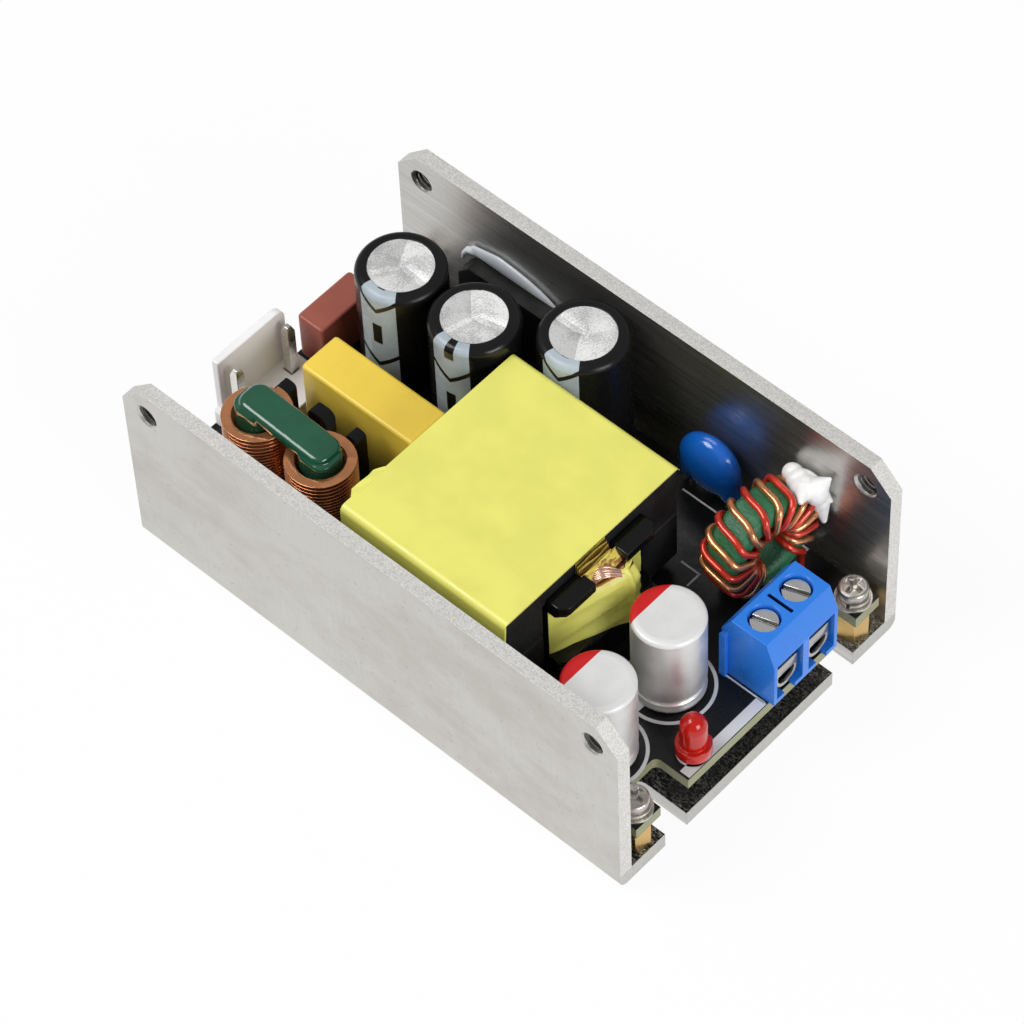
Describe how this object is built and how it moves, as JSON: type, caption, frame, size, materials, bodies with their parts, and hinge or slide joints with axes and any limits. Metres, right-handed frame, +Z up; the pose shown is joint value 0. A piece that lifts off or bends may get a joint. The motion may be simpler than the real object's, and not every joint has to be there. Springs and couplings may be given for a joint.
{
  "type": "power supply module",
  "caption": "Open-frame mains power supply: a filled circuit board on standoffs in an aluminium U channel, with a pin inlet at one end and a screw terminal at the other.",
  "frame": {"origin": "middle of the underside of the channel's base", "axes": "+X along the channel to the output end, +Y across to the bridge rectifier's wall, +Z up out of the channel"},
  "size_m": [0.0705, 0.0446, 0.0272],
  "materials": {
    "channel_aluminium": "satin, brushed along the length",
    "brass": "satin",
    "plated_steel": "bright plated",
    "board_laminate": "semi-gloss solder mask",
    "ferrite": "matt sintered",
    "black_plastic": "moulded satin",
    "copper": "enamelled copper",
    "yellow_tape": "gloss film",
    "tinned_wire": "tinned",
    "black_sleeve": "shrunk film",
    "can_aluminium": "drawn, satin",
    "black_rubber": "matt",
    "blue_plastic": "moulded satin",
    "red_lens": "diffused epoxy",
    "blue_coating": "dipped epoxy",
    "green_coating": "powder coat",
    "red_enamel": "enamelled wire",
    "white_silicone": "cured silicone",
    "yellow_plastic": "moulded satin",
    "brick_plastic": "moulded satin",
    "white_nylon": "moulded",
    "dark_green_coating": "gloss lacquer"
  },
  "bodies": {
    "chassis": {"channel": "channel_aluminium", "standoffs": "brass", "board_screws": "plated_steel", "spring_washers": "plated_steel", "flat_washers": "plated_steel", "circuit_board": "board_laminate", "core_upper": "ferrite", "core_lower": "ferrite", "transformer_bobbin": "black_plastic", "transformer_winding": "copper", "winding_tape": "yellow_tape", "core_tape": "yellow_tape", "transformer_pins": "tinned_wire", "bulk_sleeve_1": "black_sleeve", "bulk_sleeve_2": "black_sleeve", "bulk_sleeve_3": "black_sleeve", "bulk_can_1": "can_aluminium", "bulk_can_2": "can_aluminium", "bulk_can_3": "can_aluminium", "bulk_seals": "black_rubber", "bulk_leads": "tinned_wire", "output_can_1": "can_aluminium", "output_can_2": "can_aluminium", "output_seals": "black_rubber", "output_leads": "tinned_wire", "terminal_housing": "blue_plastic", "terminal_contacts": "tinned_wire", "led_lens": "red_lens", "led_leads": "tinned_wire", "disc_capacitor": "blue_coating", "disc_leads": "tinned_wire", "toroid_core": "green_coating", "toroid_wire_red": "red_enamel", "toroid_wire_copper": "copper", "glue_bead": "white_silicone", "film_capacitor": "yellow_plastic", "film_leads": "tinned_wire", "fuse_body": "brick_plastic", "fuse_leads": "tinned_wire", "inlet_header": "white_nylon", "inlet_pins": "tinned_wire", "choke_core": "dark_green_coating", "choke_coil_1": "copper", "choke_coil_2": "copper", "choke_base": "black_plastic", "bridge_rectifier": "black_plastic", "bridge_leads": "tinned_wire", "thermal_compound": "white_silicone", "switch_transistor": "black_plastic", "output_rectifier": "black_plastic", "control_chip": "black_plastic", "optocoupler": "black_plastic"},
    "clamp_screw_1": {"terminal_screw_1": "plated_steel"},
    "clamp_screw_2": {"terminal_screw_2": "plated_steel"},
    "clamp_cage_1": {"terminal_cage_1": "plated_steel"},
    "clamp_cage_2": {"terminal_cage_2": "plated_steel"}
  },
  "joints": [
    {"name": "clamp_screw_1_turn", "type": "hinge", "parent": "chassis", "child": "clamp_screw_1", "pos_m": [0.03185, 0.00406, 0.0145], "axis": [0, 0, -1], "range_deg": [0, 1260]},
    {"name": "clamp_cage_1_rise", "type": "slide", "parent": "chassis", "child": "clamp_cage_1", "axis": [0, 0, 1], "range_m": [0, 0.00175]},
    {"name": "clamp_screw_2_turn", "type": "hinge", "parent": "chassis", "child": "clamp_screw_2", "pos_m": [0.03185, 0.00914, 0.0145], "axis": [0, 0, -1], "range_deg": [0, 1260]},
    {"name": "clamp_cage_2_rise", "type": "slide", "parent": "chassis", "child": "clamp_cage_2", "axis": [0, 0, 1], "range_m": [0, 0.00175]}
  ],
  "couplings": [
    {"joint": "clamp_screw_1_turn", "follows": "clamp_cage_1_rise", "rad_per_m": 12566},
    {"joint": "clamp_screw_2_turn", "follows": "clamp_cage_2_rise", "rad_per_m": 12566}
  ]
}
